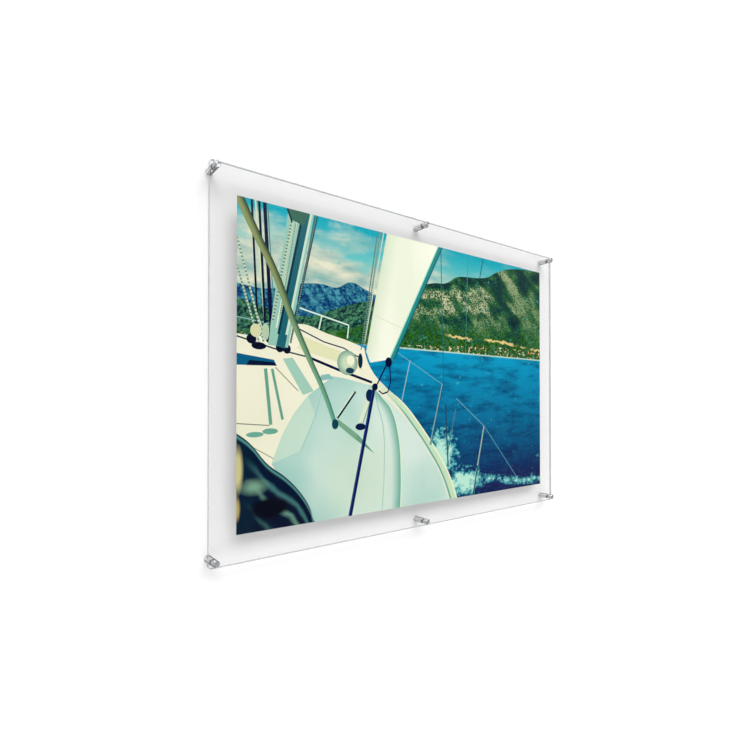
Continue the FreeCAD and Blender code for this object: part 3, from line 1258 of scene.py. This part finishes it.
@dataclass
class Cap:
    """The round cap with its shallow dished face."""

    outer: float
    rear: float
    front: float
    recess: float
    recess_end: float
    rear_edge: float = 0.4 * MM
    front_edge: float = 0.6 * MM
    rim: float = 0.75 * MM
    dish: float = 0.22 * MM

    def model(self) -> Piece:
        """Turns the cap and gives its front face the second of its finishes.

        Returns:
            The piece, on the Y axis.
        """
        inner = self.outer - self.front_edge - self.rim
        profile = (
            (0.0, self.recess_end),
            (self.recess, self.recess_end),
            (self.recess, self.rear),
            (self.outer - self.rear_edge, self.rear),
            (self.outer, self.rear - self.rear_edge),
            (self.outer, self.front + self.front_edge),
            (self.outer - self.front_edge, self.front),
            (inner, self.front),
            (inner - self.dish, self.front + self.dish),
            (inner * 0.5, self.front + self.dish * 0.88),
            (0.0, self.front + self.dish * 0.8),
        )
        piece = Workbench.turn("turned_cap", profile, 112, 0.10 * MM)
        for polygon in piece.data.polygons:
            polygon.material_index = int(polygon.center.y < self.front + self.front_edge / 2)
        return piece


@dataclass
class Stud:
    """The threaded stud, fast in the cap."""

    crest: float
    tip: float
    seat: float
    pitch: float = 1.25 * MM
    tip_edge: float = 0.8 * MM

    def model(self) -> Piece:
        """Winds the thread and chamfers its tip.

        Returns:
            The piece, on the Y axis.
        """
        root = self.crest - 0.6134 * self.pitch
        shares = ((root, 0.0), (root, 0.25), (self.crest, 0.5625), (self.crest, 0.6875), (root, 1.0))
        first = self.seat - self.pitch
        piece = Workbench.wind("threaded_stud", shares, first, self.pitch, self.seat, self.tip)
        lead = self.crest - self.tip_edge
        Workbench.reshape(piece, lambda radius, depth: min(radius, lead + self.tip - depth))
        return piece


@dataclass
class Washer:
    """A clear flat washer, a hair thinner than its gap."""

    name: str
    outer: float
    hole: float
    rear: float
    front: float
    slack: float = 0.02 * MM

    def model(self) -> Piece:
        """Turns the washer.

        Returns:
            The piece, on the Y axis.
        """
        rear = self.rear - self.slack
        front = self.front + self.slack
        corners = ((self.hole, rear), (self.outer, rear), (self.outer, front), (self.hole, front))
        return Workbench.turn(self.name, corners + corners[:1], 80, 0.16 * MM, 3)


@dataclass
class WallScrew:
    """The pan-head wood screw behind each barrel's floor."""

    head: float
    head_front: float
    reach: float
    under_head: float = -3.0 * MM
    crest: float = 1.75 * MM
    core_share: float = 0.66
    neck: float = 1.5 * MM
    pitch: float = 1.6 * MM
    point: float = 5.0 * MM
    slot_span: float = 3.6 * MM
    slot_width: float = 0.9 * MM
    slot_depth: float = 1.2 * MM

    def model(self) -> Piece:
        """Turns the head and neck, cuts the cross and winds the thread.

        Returns:
            The piece, on the Y axis.
        """
        core = self.crest * self.core_share
        profile = (
            (0.0, self.head_front),
            (self.head * 0.55, self.head_front + 0.06 * MM),
            (self.head * 0.82, self.head_front + 0.42 * MM),
            (self.head, self.head_front + 1.25 * MM),
            (self.head, self.under_head - 0.25 * MM),
            (self.head - 0.2 * MM, self.under_head),
            (self.neck, self.under_head),
            (self.neck, -0.2 * MM),
            (core * 0.9, 0.5 * MM),
            (0.0, 0.5 * MM),
        )
        piece = Workbench.turn("wood_screw", profile, 48, 0.0)
        for span_x, span_z in ((self.slot_span, self.slot_width), (self.slot_width, self.slot_span)):
            cutter = Workbench.block((0, self.head_front, 0), (span_x, 2 * self.slot_depth, span_z))
            Workbench.modify(piece, "BOOLEAN", operation="DIFFERENCE", object=cutter)
            bpy.data.objects.remove(cutter, do_unlink=True)
        Workbench.ease(piece, 0.05 * MM, 1)
        shares = ((core, 0.0), (core, 0.55), (self.crest, 0.78), (self.crest, 0.82), (core, 1.0))
        end = self.reach - 0.02 * MM
        thread = Workbench.wind("wood_thread", shares, -self.pitch, self.pitch, 0.1 * MM, end)
        Workbench.reshape(thread, self.taper)
        Workbench.activate(piece)
        thread.select_set(True)
        bpy.ops.object.join()
        return piece

    def taper(self, radius: float, depth: float) -> float:
        """Draws the thread's end in to a point.

        Args:
            radius: The radius before.
            depth: How far along the screw.

        Returns:
            The radius after.
        """
        share = (self.reach - depth) / self.point
        run_in = min(1.0, max(0.0, (depth + 0.1 * MM) / self.pitch))
        start = self.core_share + (1 - self.core_share) * run_in
        return radius * min(1.0, max(0.03, share)) * start


@dataclass
class StandoffKit:
    """The six standoffs, each piece modelled once and set at every place."""

    places: tuple[str, ...]
    grid: StandoffGrid
    washer_gap: float = 0.3 * MM

    def centre(self, place: str) -> Vector:
        """Gives where a standoff's axis meets the wall."""
        low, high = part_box("cap_" + place)
        return Vector(((low.x + high.x) / 2, 0.0, (low.z + high.z) / 2))

    def radius(self, node: str) -> float:
        """Gives a round node's radius."""
        low, high = span(node, 0)
        return (high - low) / 2

    def build(self) -> None:
        """Models, dresses and places every piece of the standoffs."""
        here = self.places[0]
        barrel_front, wall = span("barrel_" + here, 1)
        cap_front, cap_rear = span("cap_" + here, 1)
        seat, tip = span("stud_" + here, 1)
        outer = self.radius("cap_" + here)
        crest = self.radius("stud_" + here)
        barrel = Barrel(outer, wall, barrel_front, crest, tip)
        cap = Cap(outer, cap_rear, cap_front, crest, seat)
        screw = WallScrew(self.radius("wall_screw_" + here), *span("wall_screw_" + here, 1))
        metal = TurnedMetal("satin_barrel_metal", Turned.ROUND, self.grid).make()
        face = TurnedMetal("spun_cap_metal", Turned.FACE, self.grid).make()
        thread = TurnedMetal("cut_thread_metal", Turned.ROUND, self.grid, (196, 198, 201), 0.05 * MM).make()
        self.place(barrel.model(), "barrel_", Body.FIXED, Slot.METAL, metal)
        self.place(cap.model(), "cap_", Body.CAP, Slot.METAL, metal, face)
        self.place(Stud(crest, tip, seat).model(), "stud_", Body.CAP, Slot.ZINC, thread)
        self.place(screw.model(), "wall_screw_", Body.FIXED, Slot.ZINC, ZincSteel("zinc_plate").make())
        clear = ClearPlastic("clear_plastic").make()
        for kind, body in (("rear_washer_", Body.FIXED), ("front_washer_", Body.WASHER)):
            front, rear = span(kind + here, 1)
            hole = crest + self.washer_gap
            washer = Washer(kind.rstrip("_"), self.radius(kind + here), hole, rear, front)
            self.place(washer.model(), kind, body, Slot.CLEAR, clear)

    def place(self, master: Piece, kind: str, body: Body, slot: Slot, *finishes: bpy.types.Material) -> None:
        """Sets a copy of a piece at each standoff.

        Args:
            master: The piece, modelled on the Y axis.
            kind: The start of its nodes' names.
            body: The body it rides on.
            slot: The record's material slot; not used.
            *finishes: Its materials.
        """
        for material in finishes:
            master.data.materials.append(material)
        for place in self.places:
            mesh = master.data.copy()
            mesh.transform(Matrix.Translation(self.centre(place)))
            piece = bpy.data.objects.new("finished_" + kind + place, mesh)
            bpy.context.collection.objects.link(piece)
            mesh.name = piece.name
            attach(piece, body.value if body is Body.FIXED else body.value + place)
            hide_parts(kind + place)
        faces = len(master.data.polygons)
        LOG.info("%s: %d copies, %d faces each", kind.rstrip("_"), len(self.places), faces)
        bpy.data.objects.remove(master, do_unlink=True)


@dataclass
class PanelStack:
    """The two clear panels and the print between them."""

    grid: StandoffGrid
    corner: float = 6.0 * MM
    rim: float = 0.28 * MM
    hole: float = 4.5 * MM
    slack: float = 0.02 * MM

    def build(self) -> None:
        """Dresses the two panels and models the print."""
        for node in ("front_panel", "back_panel"):
            low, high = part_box(node)
            size = high - low
            sizes = (size.x, size.z, self.corner, self.hole, self.rim)
            material = ClearAcrylic(node + "_acrylic", *sizes, self.grid).make()
            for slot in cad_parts[node].material_slots:
                slot.material = material
            LOG.info("%s: dressed in %s, %d nodes", node, material.name, len(material.node_tree.nodes))
        self.print_sheet()

    def print_sheet(self) -> None:
        """Models the print, a hair thinner than the gap that it is clamped in."""
        low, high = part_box("print_sheet")
        depth = high.y - low.y - 2 * self.slack
        sheet = Workbench.block((low + high) / 2, (high.x - low.x, depth, high.z - low.z))
        Workbench.settle(sheet, "finished_print_sheet")
        bpy.ops.object.mode_set(mode="EDIT")
        bpy.ops.mesh.select_all(action="SELECT")
        bpy.ops.mesh.bevel(offset=0.2 * depth, segments=2, affect="EDGES")
        Workbench.shade(sheet)
        picture = SeascapePrint("printed_paper", low, high, low.y + self.slack).make()
        sheet.data.materials.append(picture)
        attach(sheet, Body.FIXED.value)
        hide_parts("print_sheet")
        LOG.info("print_sheet: modelled, its picture has %d nodes", len(picture.node_tree.nodes))


@dataclass(frozen=True)
class SoftLamp:
    """A large soft lamp far off, which lights the whole wall evenly."""

    name: str
    place: tuple[float, float, float]
    strength: float
    spread: float = 30.0

    def build(self) -> None:
        """Hangs the lamp, aimed at the frame."""
        light = bpy.data.lights.new(self.name, "SUN")
        light.angle = math.radians(self.spread)
        light.energy = self.strength
        lamp = bpy.data.objects.new(self.name, light)
        bpy.context.collection.objects.link(lamp)
        lamp.location = self.place
        lamp.rotation_euler = (-Vector(self.place)).to_track_quat("-Z", "Y").to_euler()


@dataclass
class Studio:
    """A pale wall and floor, two soft lamps, the room they stand in and the camera."""

    wall: float = 0.4 * MM
    floor: float = -2.1
    half_width: float = 12.0
    wall_height: float = 6.0
    floor_depth: float = 9.0
    cove: float = 0.6
    open_gap: float = 60 * MM
    unmirrored: float = 0.75
    ambient: float = 0.62
    lens: float = 24.34
    eye: tuple[float, float, float] = (-0.8192, -0.9056, -0.0630)
    yaw: float = -37.89
    pitch: float = 0.57
    rise: float = 0.0228

    def build(self) -> None:
        """Sets up the whole studio."""
        self.backdrop()
        self.surroundings()
        SoftLamp("key_lamp", (-1.2, -3.0, 3.1), 1.05).build()
        SoftLamp("fill_lamp", (0.8, -3.0, 3.1), 0.84).build()
        self.camera()
        bpy.context.scene.view_settings.view_transform = "Standard"
        LOG.info("studio: backdrop, two lamps and the camera are up")

    def backdrop(self) -> None:
        """Models the wall, the floor and the cove between them."""
        Workbench.activate()
        middle = (0.0, self.wall, self.floor + self.wall_height / 2)
        bpy.ops.mesh.primitive_plane_add(size=1.0, location=middle, rotation=(math.pi / 2, 0.0, 0.0))
        sheet = bpy.context.object
        sheet.scale = (2 * self.half_width, self.wall_height, 1.0)
        Workbench.settle(sheet, "backdrop")
        self.pick_lower_edge(sheet)
        bpy.ops.mesh.extrude_region_move(TRANSFORM_OT_translate={"value": (0.0, -self.floor_depth, 0.0)})
        self.pick_lower_edge(sheet)
        bpy.ops.mesh.bevel(offset=self.cove, segments=24, affect="EDGES")
        Workbench.shade(sheet)
        sheet.data.materials.append(StudioPaint("studio_paint", self.open_gap, self.unmirrored).make())

    def pick_lower_edge(self, sheet: Piece) -> None:
        """Selects only the edge where the wall meets the floor, in edit mode.

        Args:
            sheet: The backdrop.
        """
        Workbench.activate(sheet)
        bpy.ops.object.mode_set(mode="EDIT")
        bpy.ops.mesh.select_mode(type="EDGE")
        bpy.ops.mesh.select_all(action="DESELECT")
        bpy.ops.object.mode_set(mode="OBJECT")
        points = sheet.data.vertices
        for edge in sheet.data.edges:
            ends = [points[index].co for index in edge.vertices]
            edge.select = all(abs(end.z - self.floor) < MM and abs(end.y - self.wall) < MM for end in ends)
        bpy.ops.object.mode_set(mode="EDIT")

    def surroundings(self) -> None:
        """Gives the room: white to look at, dimmer as a light, and in bands to the metal that mirrors it."""
        world = bpy.data.worlds.new("room")
        bpy.context.scene.world = world
        world.use_nodes = True
        board = Board(world.node_tree)
        path = board.add("LightPath", {}).outputs
        aside, inward, height = board.split(board.add("TexCoord", {}).outputs["Generated"])
        level = board.math("ABSOLUTE", height)
        top = board.ramp(height, 0.60, 0.70, 0.0, 0.9)
        ahead = board.largest(board.away(level, 0.34, 0.07, 0.12, 0.95), top)
        outline = board.ramp(aside, 0.18, 0.34, 0.0, 0.92)
        low = board.away(height, -0.42, 0.11, 0.17, 0.88)
        seam = board.away(height, 0.30, 0.03, 0.07, 0.7)
        beyond = board.math("SUBTRACT", 0.96, board.largest(outline, low, seam))
        rear = board.math("GREATER_THAN", inward, 0.0)
        glow = board.math("MULTIPLY_ADD", rear, board.math("SUBTRACT", beyond, ahead), ahead)
        glow = board.math("ADD", glow, 0.03)
        seen, lit, mirrored = (
            board.shader("Background", Color=WHITE, Strength=strength)
            for strength in (1.0, self.ambient, glow)
        )
        lit = board.blend_shaders(path["Is Glossy Ray"], lit, mirrored)
        shown = board.blend_shaders(path["Is Camera Ray"], lit, seen)
        board.add("OutputWorld", {"Surface": shown})

    def camera(self) -> None:
        """Stands the camera to the left of the frame, looking across it."""
        data = bpy.data.cameras.new("camera")
        data.lens = self.lens
        data.sensor_width = 36.0
        data.shift_y = self.rise
        data.clip_start = 0.01
        data.dof.use_dof = False
        eye = bpy.data.objects.new("camera", data)
        bpy.context.collection.objects.link(eye)
        eye.location = self.eye
        eye.rotation_euler = (math.radians(90 + self.pitch), 0.0, math.radians(self.yaw))
        bpy.context.scene.camera = eye


@dataclass(frozen=True)
class StudioPaint(Finish):
    """The wall's pale paint, see-through from behind, to short light rays and in part to mirrors."""

    open_gap: float
    unmirrored: float

    def surface(self, board: Board) -> Socket:
        """Mixes the paint with nothing.

        Args:
            board: The board to wire on.

        Returns:
            The shader.
        """
        mottle = board.noise(board.place(), 3.0, 3.0)
        colour = board.mix(mottle, (0.90, 0.90, 0.90, 1.0), (0.915, 0.915, 0.915, 1.0))
        path = board.add("LightPath", {}).outputs
        close = board.math("LESS_THAN", path["Ray Length"], self.open_gap)
        short = board.math("MULTIPLY", close, path["Is Diffuse Ray"])
        behind = board.add("NewGeometry", {}).outputs["Backfacing"]
        mirrored = board.math("MULTIPLY", path["Is Glossy Ray"], self.unmirrored)
        solid = board.shader("BsdfDiffuse", Color=colour)
        clear = board.shader("BsdfTransparent", Color=WHITE)
        return board.blend_shaders(board.largest(behind, short, mirrored), solid, clear)


def main() -> None:
    """Builds the studio, the panels and print, and the standoffs."""
    logging.basicConfig(level=logging.INFO, format="%(name)s: %(message)s")
    prefix = "barrel_"
    places = tuple(sorted(name[len(prefix):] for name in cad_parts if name.startswith(prefix)))
    across, up = (sum(span("cap_top_right", axis)) / 2 for axis in (0, 2))
    grid = StandoffGrid(across, up)
    Studio().build()
    PanelStack(grid).build()
    StandoffKit(places, grid).build()


if __name__ == "__main__":
    main()
